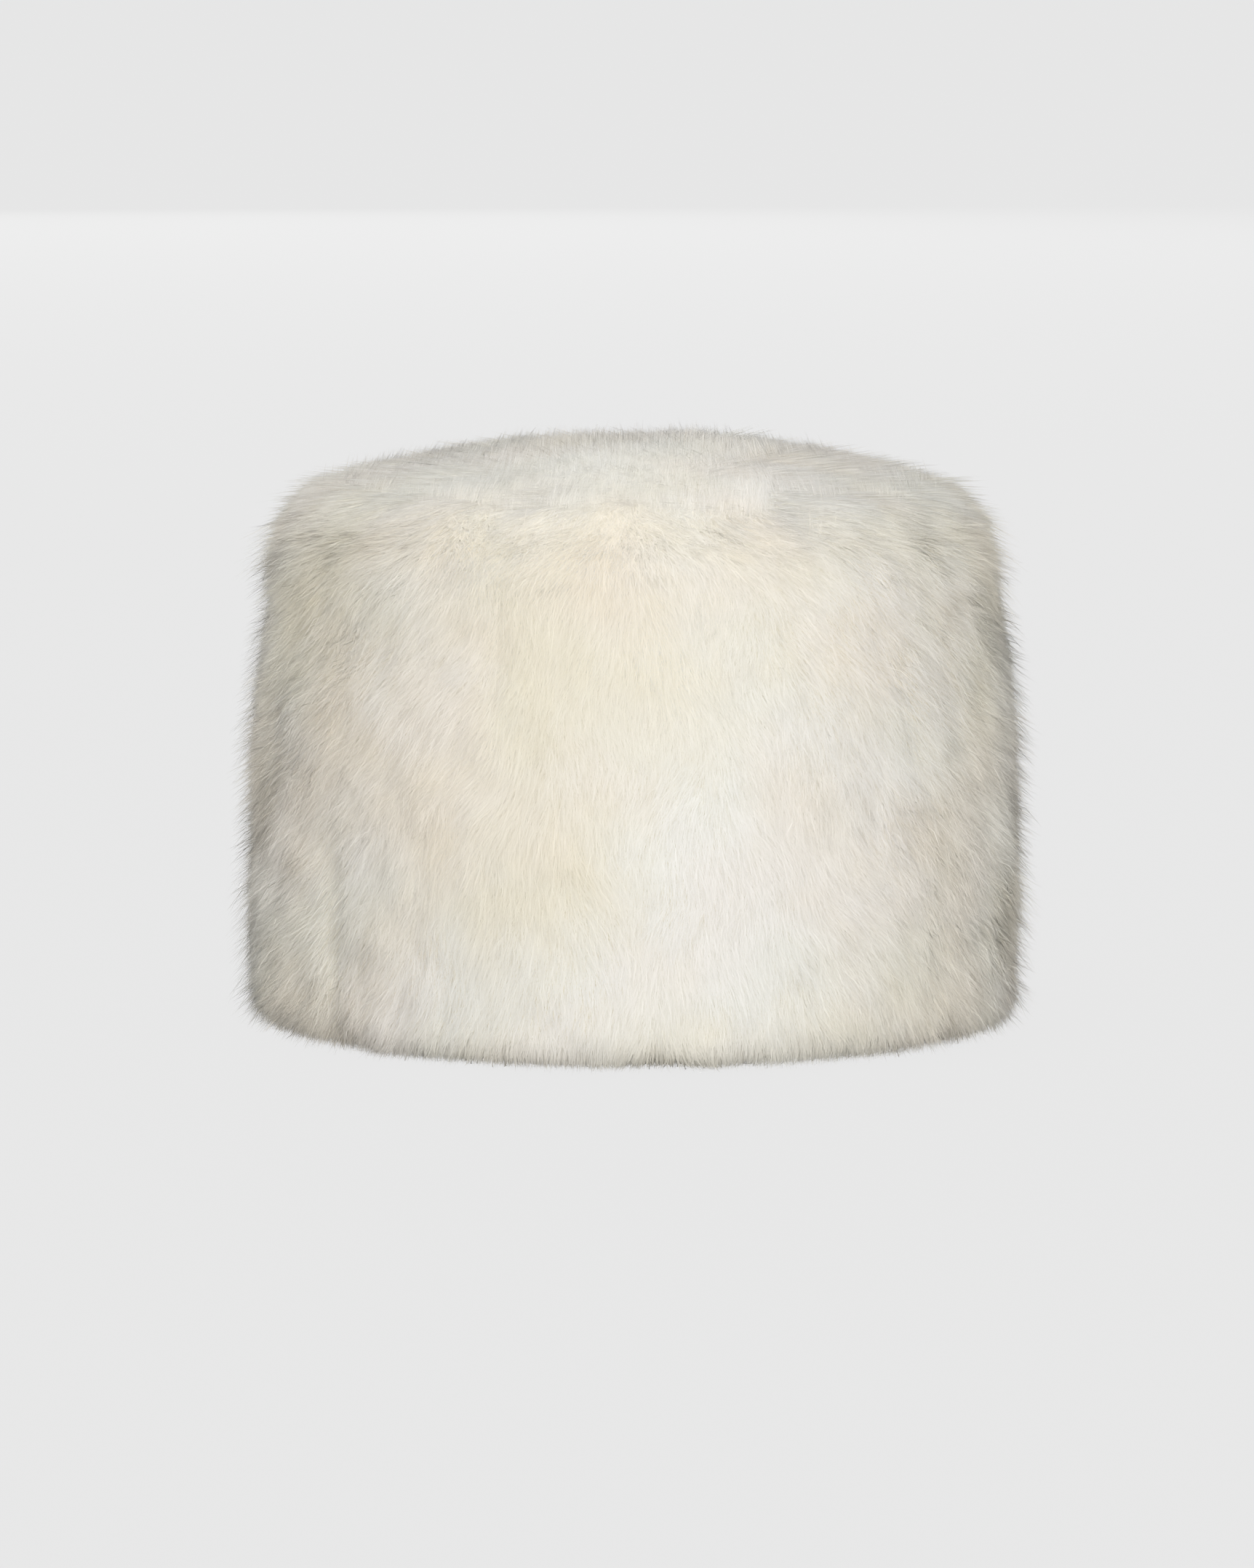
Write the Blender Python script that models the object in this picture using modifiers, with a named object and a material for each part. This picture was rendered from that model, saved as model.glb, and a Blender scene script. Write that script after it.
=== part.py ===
"""Shearling hat: a tall round winter hat sewn from sheepskin, worn with the fleece outside.

Two cuts of sheepskin make it: a side band that goes once round the head, and an oval crown tip sewn into
its top. Each cut is a thin suede skin with a deep fleece on its outer side. The fleece laps over the raw rim
of the band, and the hat stands on it. Inside, the bare suede leaves the whole hollow open for the head.

Metres, +Z up. The front of the hat faces -Y, and the origin is on the floor under the middle of the hat.
"""

import math

import bmesh
import bpy
from mathutils import Vector, noise

# The head opening, measured on the suede at the rim
HEAD_WIDTH = 0.174
HEAD_LENGTH = 0.194

# The skin
SKIN = 0.002
SKIN_TOP = 0.150
RIM_LIFT = 0.009
BAND_TAPER = 0.004
SHOULDER_RADIUS = 0.012
SHOULDER_TURN = math.radians(80)
CROWN_RISE = 0.0107

# The fleece, as its depth outside the skin
BELLY_PILE = 0.0220
SHOULDER_PILE = 0.0210
CROWN_PILE = 0.0200
BELLY_BULGE = 0.0025
HEM_ROLL = 0.013
SEAM_GROOVE = 0.004
CLEARANCE = 0.0003

# The locks that the fleece is laid in. Their spread, lean and valleys are shares of a lock's own size.
LOCKS_ROUND = 48
BAND_LOCK_ROWS = 9
TIP_LOCK_ROWS = 4
ROWS_PER_LOCK = 3
LOCK_LIFT = 0.0024
LOCK_SLIDE = 0.0026
LOCK_SPREAD = 0.35
LOCK_LEAN = 0.3
LOCK_ROOT = 0.2
VALLEY = -0.5
SWELL = 0.0014
SWELL_LENGTH = 0.038

# The shares of each fleece at the start and at the end of its outline over which the locks die away
BAND_FADES = (0.08, 0.10)
TIP_FADES = (0.5, 0.16)

# How finely the skin is cut
WALL_STEPS = 3
SHOULDER_STEPS = 4
DOME_STEPS = 3

# Partings, dents and swells of the fleece, from the photograph. Bearings are in degrees from +X towards +Y,
# so the front is 270. place is how far down the band's fleece the mark lies, from 0 at the crown seam to 1 at
# the foot. Half sizes are of the same kinds. depth is a share of the pile: positive sinks, negative swells.
BAND_MARKS = (
    # bearing, half_bearing, place, half_place, depth
    (218.0, 3.5, 0.74, 0.22, 0.12),
    (210.0, 6.0, 0.66, 0.12, -0.06),
    (273.5, 2.5, 0.95, 0.05, 0.14),
    (281.0, 6.0, 0.93, 0.06, -0.08),
    (301.0, 7.0, 0.07, 0.07, 0.13),
    (252.0, 9.0, 0.06, 0.06, -0.06),
    (196.0, 8.0, 0.16, 0.07, -0.07),
    (341.0, 8.0, 0.60, 0.20, -0.05),
    (60.0, 4.0, 0.45, 0.25, 0.10),
    (120.0, 10.0, 0.30, 0.12, -0.06),
)
# The same on the crown tip, where place is the share of the way from its middle to the crown seam
TIP_MARKS = (
    # bearing, half_bearing, place, half_place, depth
    (300.0, 14.0, 0.72, 0.22, 0.12),
    (262.0, 16.0, 0.60, 0.25, -0.08),
    (215.0, 14.0, 0.68, 0.20, -0.07),
    (335.0, 14.0, 0.62, 0.22, -0.09),
    (95.0, 20.0, 0.55, 0.25, 0.08),
)

# Colours and roughness of the wool and of the suede side of the skin
WOOL_COLOUR, WOOL_ROUGHNESS = (0.86, 0.82, 0.72), 0.95
SUEDE_COLOUR, SUEDE_ROUGHNESS = (0.72, 0.62, 0.48), 0.9

# Values that follow from the sizes above
RIM_RADIUS = HEAD_WIDTH / 2 + SKIN
SHOULDER_AXIS = (
    RIM_RADIUS - BAND_TAPER - SHOULDER_RADIUS,
    SKIN_TOP - CROWN_RISE - SHOULDER_RADIUS * math.sin(SHOULDER_TURN),
)
SEAM_RADIUS = SHOULDER_AXIS[0] + SHOULDER_RADIUS * math.cos(SHOULDER_TURN)
BELLY_RADIUS = RIM_RADIUS + BELLY_PILE
BAND_COLUMNS = 2 * LOCKS_ROUND
TIP_COLUMNS = LOCKS_ROUND
MERGE = 1e-6
SMOOTH_UP_TO = math.radians(50)


def arc(centre, radius, start, end, steps):
    """Points (radius from the axis, height) on an arc. Its angles go up from the outward direction."""
    angles = [start + (end - start) * i / steps for i in range(steps + 1)]
    return [(centre[0] + radius * math.cos(a), centre[1] + radius * math.sin(a)) for a in angles]


def line(start, end, steps, bulge=0.0):
    """Points on a line, bowed outwards by bulge in its middle."""
    points = []
    for i in range(steps + 1):
        share = i / steps
        radius = start[0] + (end[0] - start[0]) * share + bulge * math.sin(math.pi * share)
        points.append((radius, start[1] + (end[1] - start[1]) * share))
    return points


def dome(top, rise, radius, steps):
    """Points from the axis out to a radius, on a dome that falls by rise on the way."""
    return [(radius * i / steps, top - rise * (i / steps) ** 2) for i in range(steps + 1)]


def evenly(points, steps):
    """The same outline with its points the same distance apart."""
    lengths = [math.dist(a, b) for a, b in zip(points, points[1:])]
    total = sum(lengths)
    spaced = []
    for i in range(steps + 1):
        left, k = total * i / steps, 0
        while k < len(lengths) - 1 and left > lengths[k]:
            left -= lengths[k]
            k += 1
        share = min(1.0, left / lengths[k])
        a, b = points[k], points[k + 1]
        spaced.append((a[0] + (b[0] - a[0]) * share, a[1] + (b[1] - a[1]) * share))
    return spaced


def outward(points):
    """The outward normal at each point of an outline that runs from the top down its outer side."""
    normals = []
    for i in range(len(points)):
        a, b = points[max(i - 1, 0)], points[min(i + 1, len(points) - 1)]
        along = (b[0] - a[0], b[1] - a[1])
        size = math.hypot(*along)
        normals.append((-along[1] / size, along[0] / size))
    return normals


def offset(points, distance):
    """An outline moved outwards by a distance."""
    return [(p[0] + n[0] * distance, p[1] + n[1] * distance) for p, n in zip(points, outward(points))]


def band_skin_outline():
    """The outer face of the band's skin, from the crown seam down to the rim."""
    shoulder = arc(SHOULDER_AXIS, SHOULDER_RADIUS, SHOULDER_TURN, 0.0, SHOULDER_STEPS)
    wall = line(shoulder[-1], (RIM_RADIUS, RIM_LIFT), WALL_STEPS)
    return shoulder + wall[1:]


def tip_skin_outline():
    """The outer face of the crown tip's skin, from its middle out to the crown seam."""
    return dome(SKIN_TOP, CROWN_RISE, SEAM_RADIUS - CLEARANCE, DOME_STEPS)


def band_fleece_outline():
    """The outside of the band's fleece before it is groomed, from the crown seam down to the foot."""
    radius = SHOULDER_RADIUS + SHOULDER_PILE
    shoulder = arc(SHOULDER_AXIS, radius, SHOULDER_TURN, 0.0, 2 * ROWS_PER_LOCK)
    wall = line(shoulder[-1], (BELLY_RADIUS, HEM_ROLL), 4 * ROWS_PER_LOCK, BELLY_BULGE)
    hem = arc((BELLY_RADIUS - HEM_ROLL, HEM_ROLL), HEM_ROLL, 0.0, -math.pi / 2, 2 * ROWS_PER_LOCK)
    return evenly(shoulder + wall[1:] + hem[1:], BAND_LOCK_ROWS * ROWS_PER_LOCK)


def tip_fleece_outline():
    """The outside of the crown tip's fleece before it is groomed, from its middle out to the crown seam."""
    seam = band_fleece_outline()[0]
    top = SKIN_TOP + CROWN_PILE
    return dome(top, top - seam[1], seam[0] - CLEARANCE, TIP_LOCK_ROWS * ROWS_PER_LOCK)


def on_oval(radius, height, bearing):
    """Stretches a round section to the oval of a head: the crown tip in proportion, and all outside it by
    the same amount."""
    stretch = (HEAD_LENGTH - HEAD_WIDTH) / 2 * min(1.0, radius / SEAM_RADIUS)
    return Vector((radius * math.cos(bearing), (radius + stretch) * math.sin(bearing), height))


def bell(distance):
    """A smooth bump, 1 at distance 0 and 0 from distance 1 on."""
    return (0.5 + 0.5 * math.cos(math.pi * distance)) if distance < 1 else 0.0


def marks_at(marks, bearing, place):
    """The share of the pile that the partings, dents and swells take away here."""
    sunk = 0.0
    for mark_bearing, half_bearing, mark_place, half_place, depth in marks:
        aside = (math.degrees(bearing) - mark_bearing + 180) % 360 - 180
        sunk += depth * bell(math.hypot(aside / half_bearing, (place - mark_place) / half_place))
    return sunk


def lock_form(row, column, start):
    """How far a lock lifts, slides and leans the fleece here, as shares. Each lock is a ridge between two
    valleys and lies over the root of the next one down. start is the row of its column where locks begin."""
    lock_row, phase = divmod(row + start, ROWS_PER_LOCK)
    along = phase / (ROWS_PER_LOCK - 1)
    chance = noise.random_unit_vector(size=3)
    lean = LOCK_LEAN * chance[2]
    if (column + lock_row) % 2:
        return VALLEY + LOCK_ROOT * along, 0.0, lean
    lift = (LOCK_ROOT + (1 - LOCK_ROOT) * along) * (1 + LOCK_SPREAD * chance[0])
    return lift, along * (1 + LOCK_SPREAD * chance[1]), lean


def groomed(outline, marks, columns, pile, fades):
    """The outside of a fleece as rings of points, one ring for each point of its outline. The locks die away
    over the fades at its start and its end, so that the edges keep their place."""
    noise.seed_set(LOCKS_ROUND)
    normals = outward(outline)
    last = len(outline) - 1
    starts = [int(noise.random() * ROWS_PER_LOCK) for _ in range(columns)]
    rings = []
    for row, (point, normal) in enumerate(zip(outline, normals)):
        place = row / last
        keep = min(1.0, place / fades[0], (1 - place) / fades[1])
        ring = []
        for column in range(columns):
            lift, slide, lean = lock_form(row, column, starts[column])
            bearing = 2 * math.pi * (column + keep * lean) / columns
            spot = on_oval(point[0], point[1], bearing) / SWELL_LENGTH
            out = LOCK_LIFT * lift + SWELL * noise.noise(spot) - pile * marks_at(marks, bearing, place)
            down = LOCK_SLIDE * slide
            radius = point[0] + keep * (out * normal[0] + down * normal[1])
            height = point[1] + keep * (out * normal[1] - down * normal[0])
            ring.append(on_oval(radius, max(height, 0.0), bearing))
        rings.append(ring)
    return rings


def plain_rings(points, columns):
    """Rings of points on a smooth outline."""
    return [[on_oval(r, z, 2 * math.pi * column / columns) for column in range(columns)] for r, z in points]


def material(name, colour, roughness):
    made = bpy.data.materials.new(name)
    made.use_nodes = True
    shader = made.node_tree.nodes["Principled BSDF"]
    shader.inputs["Base Color"].default_value = (*colour, 1.0)
    shader.inputs["Roughness"].default_value = roughness
    shader.inputs["Metallic"].default_value = 0.0
    made.diffuse_color = (*colour, 1.0)
    return made


def add_object(name, mesh, collection, finish):
    made = bpy.data.objects.new(name, mesh)
    mesh.materials.append(finish)
    collection.objects.link(made)
    return made


def wrapped(name, rings):
    """A mesh through rings of points that closes on itself all round: a grid bent round the hat and welded.
    Rings on the axis weld to a single point."""
    rows, columns = len(rings), len(rings[0])
    shape = bmesh.new()
    bmesh.ops.create_grid(shape, x_segments=columns, y_segments=rows, size=0.5)
    for vert in shape.verts:
        column = round((vert.co.x + 0.5) * columns) % columns
        row = round((vert.co.y + 0.5) * rows) % rows
        vert.co = rings[row][column]
    bmesh.ops.remove_doubles(shape, verts=shape.verts, dist=MERGE)
    bmesh.ops.recalc_face_normals(shape, faces=shape.faces)
    bmesh.ops.triangulate(shape, faces=shape.faces, quad_method="SHORT_EDGE")
    mesh = bpy.data.meshes.new(name)
    shape.to_mesh(mesh)
    shape.free()
    mesh.shade_smooth()
    mesh.set_sharp_from_angle(angle=SMOOTH_UP_TO)
    return mesh


def turned_skin(name, outline, collection, finish):
    """A skin turned from the outline of its outer face, stretched to the oval and given its thickness."""
    profile = bpy.data.meshes.new(name + "_profile")
    edges = [(i, i + 1) for i in range(len(outline) - 1)]
    profile.from_pydata([(r, 0.0, z) for r, z in outline], edges, [])
    lathe = bpy.data.objects.new(name + "_lathe", profile)
    collection.objects.link(lathe)
    screw = lathe.modifiers.new("turn", "SCREW")
    screw.steps = screw.render_steps = LOCKS_ROUND
    screw.use_merge_vertices = True
    screw.merge_threshold = MERGE
    screw.use_normal_calculate = True
    bpy.context.view_layer.update()
    mesh = bpy.data.meshes.new_from_object(lathe.evaluated_get(bpy.context.evaluated_depsgraph_get()))
    bpy.data.objects.remove(lathe)
    mesh.name = name
    for vert in mesh.vertices:
        vert.co = on_oval(math.hypot(vert.co.x, vert.co.y), vert.co.z, math.atan2(vert.co.y, vert.co.x))
    mesh.shade_smooth()
    skin = add_object(name, mesh, collection, finish)
    wall = skin.modifiers.new("thickness", "SOLIDIFY")
    wall.thickness = SKIN
    wall.offset = -1.0
    wall.use_even_offset = True
    return skin


def in_groove(edge, seam):
    """The point in the groove over the crown seam where a fleece turns in from its outer edge to the seam."""
    return (edge[0] - (edge[0] - seam[0]) * SEAM_GROOVE / SHOULDER_PILE, edge[1] - SEAM_GROOVE)


def make_band_fleece(collection, finish):
    """The band's fleece, in section: groomed outside, flat foot, lip under the raw rim, inner side on the
    skin."""
    outline = band_fleece_outline()
    outside = groomed(outline, BAND_MARKS, BAND_COLUMNS, BELLY_PILE, BAND_FADES)
    on_skin = offset(band_skin_outline(), CLEARANCE)
    inner_edge = HEAD_WIDTH / 2
    lip_height = RIM_LIFT - CLEARANCE
    lip = [(inner_edge, 0.0), (inner_edge, lip_height), (on_skin[-1][0], lip_height)]
    inside = lip + on_skin[-2::-1] + [in_groove(outline[0], on_skin[0])]
    rings = outside[1:] + plain_rings(inside, BAND_COLUMNS)
    return add_object("band_fleece", wrapped("band_fleece", rings), collection, finish)


def make_tip_fleece(collection, finish):
    """The crown tip's fleece: groomed on top, and its underside on the skin."""
    outline = tip_fleece_outline()
    outside = groomed(outline, TIP_MARKS, TIP_COLUMNS, CROWN_PILE, TIP_FADES)
    on_skin = offset(tip_skin_outline(), CLEARANCE)
    underside = [in_groove(outline[-1], on_skin[-1])] + on_skin[::-1]
    rings = outside[:-1] + plain_rings(underside, TIP_COLUMNS)
    return add_object("tip_fleece", wrapped("tip_fleece", rings), collection, finish)


def build_hat():
    for thing in list(bpy.data.objects):
        bpy.data.objects.remove(thing)
    hat = bpy.data.collections.new("shearling_hat")
    bpy.context.scene.collection.children.link(hat)
    wool = material("wool", WOOL_COLOUR, WOOL_ROUGHNESS)
    suede = material("suede", SUEDE_COLOUR, SUEDE_ROUGHNESS)
    turned_skin("band_skin", band_skin_outline(), hat, suede)
    turned_skin("tip_skin", tip_skin_outline(), hat, suede)
    make_band_fleece(hat, wool)
    make_tip_fleece(hat, wool)


build_hat()
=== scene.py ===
"""Looks of the shearling hat: combed wool over both fleeces, suede skins with sewn seams, and a plain studio.

Metres throughout, and angles in degrees where they are only read once. A bearing goes round the hat from +X, and
the front of the hat is at 270. Distances run from the middle of the crown along the outside.
"""

import math

import bmesh
import bpy
import numpy as np
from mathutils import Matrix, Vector, noise


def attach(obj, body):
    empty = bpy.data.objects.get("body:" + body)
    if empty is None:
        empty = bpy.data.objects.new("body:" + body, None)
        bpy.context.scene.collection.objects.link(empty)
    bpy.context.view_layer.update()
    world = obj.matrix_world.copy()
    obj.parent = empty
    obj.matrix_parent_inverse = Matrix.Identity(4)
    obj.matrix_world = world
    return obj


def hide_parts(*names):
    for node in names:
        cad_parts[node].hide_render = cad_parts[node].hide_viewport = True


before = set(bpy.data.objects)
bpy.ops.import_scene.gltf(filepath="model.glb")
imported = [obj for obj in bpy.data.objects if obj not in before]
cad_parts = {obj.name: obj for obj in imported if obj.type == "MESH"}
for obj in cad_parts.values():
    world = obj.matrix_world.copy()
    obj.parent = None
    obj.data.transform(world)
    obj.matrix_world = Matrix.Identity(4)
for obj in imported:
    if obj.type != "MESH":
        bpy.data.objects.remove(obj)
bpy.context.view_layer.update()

# Sizes of the solids, in metres, repeated from the CAD
HEAD_WIDTH, HEAD_LENGTH, SKIN = 0.174, 0.194, 0.002
SKIN_TOP, RIM_LIFT, BAND_TAPER, SHOULDER_RADIUS = 0.150, 0.009, 0.004, 0.012
SHOULDER_TURN, CROWN_RISE = math.radians(80), 0.0107
BELLY_PILE, SHOULDER_PILE, CROWN_PILE = 0.0220, 0.0210, 0.0200
BELLY_BULGE, HEM_ROLL, CLEARANCE = 0.0025, 0.013, 0.0003
SWELL, SWELL_LENGTH = 0.0014, 0.038
RIM_RADIUS = HEAD_WIDTH / 2 + SKIN
AXIS_R = RIM_RADIUS - BAND_TAPER - SHOULDER_RADIUS
AXIS_Z = SKIN_TOP - CROWN_RISE - SHOULDER_RADIUS * math.sin(SHOULDER_TURN)
SEAM_RADIUS = AXIS_R + SHOULDER_RADIUS * math.cos(SHOULDER_TURN)
BELLY_RADIUS = RIM_RADIUS + BELLY_PILE

# Partings and dents as in the CAD: bearing, half_bearing, place (down the band, or out over the tip), half_place,
# depth as a share of the pile
BAND_MARKS = (
    (218.0, 3.5, 0.74, 0.22, 0.12), (210.0, 6.0, 0.66, 0.12, -0.06), (273.5, 2.5, 0.95, 0.05, 0.14),
    (281.0, 6.0, 0.93, 0.06, -0.08), (301.0, 7.0, 0.07, 0.07, 0.13), (252.0, 9.0, 0.06, 0.06, -0.06),
    (196.0, 8.0, 0.16, 0.07, -0.07), (341.0, 8.0, 0.60, 0.20, -0.05), (60.0, 4.0, 0.45, 0.25, 0.10),
    (120.0, 10.0, 0.30, 0.12, -0.06),
)
TIP_MARKS = (
    (300.0, 14.0, 0.72, 0.22, 0.12), (262.0, 16.0, 0.60, 0.25, -0.08), (215.0, 14.0, 0.68, 0.20, -0.07),
    (335.0, 14.0, 0.62, 0.22, -0.09), (95.0, 20.0, 0.55, 0.25, 0.08),
)

# The wool's surface: fine swells, their size, and the groove over the crown seam
FINE_SWELL, FINE_SWELL_LENGTH, SURFACE_LIFT = 0.0008, 0.012, 0.0006
GROOVE, GROOVE_WIDTH, GROOVE_UNEVEN, GROOVE_PATCH = 0.0004, 0.0085, 0.5, 0.025
STEADY_HEM = 0.012
BODY_RADIUS = 0.115

# The undercoat: its depth under the surface, its columns, and its lowest point over the floor
UNDERCOAT_DEPTH, UNDERCOAT_COLUMNS, UNDERCOAT_FOOT, SEAM_KEEP = 0.0048, 160, 0.0014, 0.0008

# The strands: depth of the root, width, greatest length, and the share made of one triangle
ROOT_DEPTH, STRAND_WIDTH, STRAND_LENGTH, SHORT_SHARE = 0.0058, 0.00024, 0.0105, 0.80
PIECE_TRIANGLES, TIP_TRIANGLES, BUDGET_USED = 188000, 150000, 0.995
SEAM_GAP, STRAND_FLOOR, STRAND_FLOOR_SPREAD = 0.0002, 0.0003, 0.0014
# Steps of an even scatter over a square, and the blur of a strand's bearing
SCATTER = (0.7548776662466927, 0.5698402909980532)
BEARING_BLUR = 0.0012
# On the crown the strands are closed three-sided spikes, down to this slope, with a blurred edge
SPIKE_STEEP, SPIKE_BLUR = math.radians(42), 0.0055
# Size of a tuft and of a lock, and how far a tuft draws its strands together
TUFT, LOCK, TUFT_REACH, TUFT_DRAW = 0.0034, 0.0125, 0.004, (0.12, 0.25)
# The wool is smoother in front: the middle of that area, its half width, and the shagginess behind and taken off
FRONT_BEARING, SMOOTH_FRONT, SHAG, SHAG_SMOOTHED, SHAG_ON_CROWN = 268, 75, 1.5, 0.75, 0.6
# Over the middle of the crown the wool flows one way, between these radii
CROWN_FLOW, FLOW_FROM, FLOW_OVER = (-0.35, -0.93, 0.0), 0.012, 0.045
# Turn and lean in degrees, and height in metres: from the field, the tuft, the lock and by chance
TURN_BY, LEAN_BY, HEIGHT_BY = (38, 14, 16, 11), (9, 7, 6, 5), (0.0008, 0.0007, 0.0009, 0.00055)
# Above this slope the crown's wool leans inwards, with a ragged edge; below it it lies past the slope
PART_STEEP, PART_BY, LIE_PAST = 72, 12, 7
INWARD_LEAN = ((0.0, 0), (0.018, 8), (0.045, 34), (0.075, 42))
LEAN_INWARD_MOST, LEAN_LEAST, LEAN_MOST = -60, 8, 74
# Guard hairs: their share, how far they stand up, and what they reach past the rest, on the crown and on the band
GUARD_SHARE, GUARD_STEEP, GUARD_UP, GUARD_REACH = 0.13, 20, (6, 16), (0.0026, 0.0060)
# Shading: rounding of tufts and locks, roughness across and by chance, and how far over the tip's slope is read
TUFT_ROUND, LOCK_ROUND, ROUGH_ACROSS, ROUGH_CHANCE = 0.30, 0.22, 0.04, 0.07
SHADE_OVER_PLACES, SHADE_OVER = (0.4, 0.85), (0.3, 0.75)
# Whiteness: its middle, by the field, by the tuft, over the crown, and a patch's size and strength
WHITE_MIDDLE, WHITE_FIELD, WHITE_TUFT, WHITE_CROWN, CROWN_FROM, CROWN_OVER = 0.5, 0.30, 0.12, 0.3, 0.150, 0.012
PATCH_SIZE, PATCH_STRENGTH = 1.5, 0.45
WOOL_TONES = ((0.10, (0.955, 0.895, 0.760)), (0.50, (0.965, 0.925, 0.835)), (0.90, (0.97, 0.952, 0.905)))

# The seams inside: the closing seam's bearing, and the sizes of their edges and stitches
CLOSING_BEARING = math.radians(218)
SEAM_EDGE, THREAD_RADIUS, STITCH_PITCH, EDGE_SPACING, EDGE_WOBBLE = 0.0013, 0.00028, 0.0030, 0.003, 0.00015
STITCH_SLANT, STITCH_REACH, STITCH_OVER, STITCH_SINK = (0.0009, 0.0002), (0.0019, 0.0003), 0.0004, 0.0001
STITCH_POINTS, STITCH_TURN = 7, 78

# Lean of the wool from upright, in degrees, by the distance from the middle of the crown along the outside
LEAN = (
    (0.000, 50), (0.105, 50), (0.130, 48), (0.165, 50), (0.235, 52), (0.258, 42),
    (0.268, 38), (0.285, 66),
)
# Patches of whiter and creamier wool, from the photograph: bearing, half_bearing, height, half_height, whiter by.
# The wide creamier patch over the front shoulder (bearing 265, height 0.147) is painted shade.
PATCHES = (
    (258, 20, 0.109, 0.035, -0.9), (252, 20, 0.057, 0.030, -0.7), (243, 8, 0.117, 0.018, 0.8),
    (283, 20, 0.057, 0.045, 0.9), (285, 10, 0.033, 0.015, 0.5), (293, 9, 0.080, 0.018, -0.6),
    (245, 30, 0.023, 0.022, 0.7), (265, 35, 0.147, 0.022, -0.5), (208, 12, 0.123, 0.025, -0.6),
    (308, 22, 0.090, 0.060, 0.6), (30, 25, 0.060, 0.040, -0.6), (75, 25, 0.110, 0.035, 0.6),
    (120, 30, 0.060, 0.040, -0.7), (165, 25, 0.110, 0.035, 0.5),
)
# Partings that the wool falls away from: bearing, half_bearing, first and last place down the band, strength
PARTINGS = ((218.0, 7.0, 0.50, 0.96, 0.4), (273.5, 3.5, 0.86, 1.0, 0.8), (60.0, 6.0, 0.25, 0.7, 0.5))
PARTING_TURN, PARTING_WANDER, PARTING_ENDS = 55, 5, (0.08, 0.05)


def fine_outline():
    """The outside from the middle of the crown to the inner edge of the foot: radius and height, the distance along
    it, and the distances at which the seam, the foot and the end lie."""
    big = SHOULDER_RADIUS + SHOULDER_PILE
    seam_r, seam_z = AXIS_R + big * math.cos(SHOULDER_TURN), AXIS_Z + big * math.sin(SHOULDER_TURN)
    steps = 200
    t = np.linspace(0, 1, steps)
    top = SKIN_TOP + CROWN_PILE
    dome = np.column_stack([seam_r * t, top - (top - seam_z) * t**2])
    a = SHOULDER_TURN * (1 - t)
    shoulder = np.column_stack([AXIS_R + big * np.cos(a), AXIS_Z + big * np.sin(a)])
    wall = np.column_stack([
        AXIS_R + big + (BELLY_RADIUS - AXIS_R - big) * t + BELLY_BULGE * np.sin(math.pi * t),
        AXIS_Z + (HEM_ROLL - AXIS_Z) * t,
    ])
    a = -math.pi / 2 * t
    hem = np.column_stack([BELLY_RADIUS - HEM_ROLL + HEM_ROLL * np.cos(a), HEM_ROLL + HEM_ROLL * np.sin(a)])
    foot = np.column_stack([BELLY_RADIUS - HEM_ROLL + (HEAD_WIDTH / 2 - BELLY_RADIUS + HEM_ROLL) * t, 0 * t])
    path = np.vstack([dome, shoulder[1:], wall[1:], hem[1:], foot[1:]])
    far = np.concatenate([[0], np.cumsum(np.hypot(*np.diff(path, axis=0).T))])
    return path, far, far[steps - 1], far[(steps - 1) * 4], far[-1]


PATH, FAR, SEAM_AT, FOOT_AT, END_AT = fine_outline()
STRETCH = (HEAD_LENGTH - HEAD_WIDTH) / 2
SPIKES_TO = SEAM_AT + (SHOULDER_TURN - SPIKE_STEEP) * (SHOULDER_RADIUS + SHOULDER_PILE)


def on_oval(r, z, bearing):
    """Points at a radius, height and bearing, drawn out along Y into the oval of a head."""
    stretch = STRETCH * np.minimum(1.0, r / SEAM_RADIUS)
    return np.stack([r * np.cos(bearing), (r + stretch) * np.sin(bearing), z + 0 * bearing], axis=-1)


def noise_at(points, size, seed=0.0):
    """Smooth noise at each point, about -1 to 1."""
    flat = points.reshape(-1, 3) / size + seed
    values = np.fromiter((noise.noise(p) for p in flat.tolist()), float, len(flat))
    return values.reshape(points.shape[:-1])


def bell(x):
    """1 at 0, falling smoothly to 0 at 1."""
    return np.where(x < 1, 0.5 + 0.5 * np.cos(math.pi * np.minimum(x, 1)), 0.0)


def aside_of(bearing, at):
    """Degrees from one bearing to the others, -180 to 180."""
    return (np.degrees(bearing) - at + 180) % 360 - 180


def marks_at(marks, bearing, place):
    """How deep the surface is sunk by a table of partings and dents, as a share of the pile."""
    sunk = np.zeros(np.broadcast(bearing, place).shape)
    for at, half, down, half_down, depth in marks:
        sunk += depth * bell(np.hypot(aside_of(bearing, at) / half, (place - down) / half_down))
    return sunk


def unit(v):
    return v / np.maximum(np.linalg.norm(v, axis=-1, keepdims=True), 1e-12)


def turned_round(outward, upward, bearing):
    """Directions given by their outward and upward parts for each row, turned to every bearing."""
    return np.stack(
        [outward[:, None] * np.cos(bearing), outward[:, None] * np.sin(bearing), upward[:, None] + 0 * bearing], -1
    )


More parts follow.
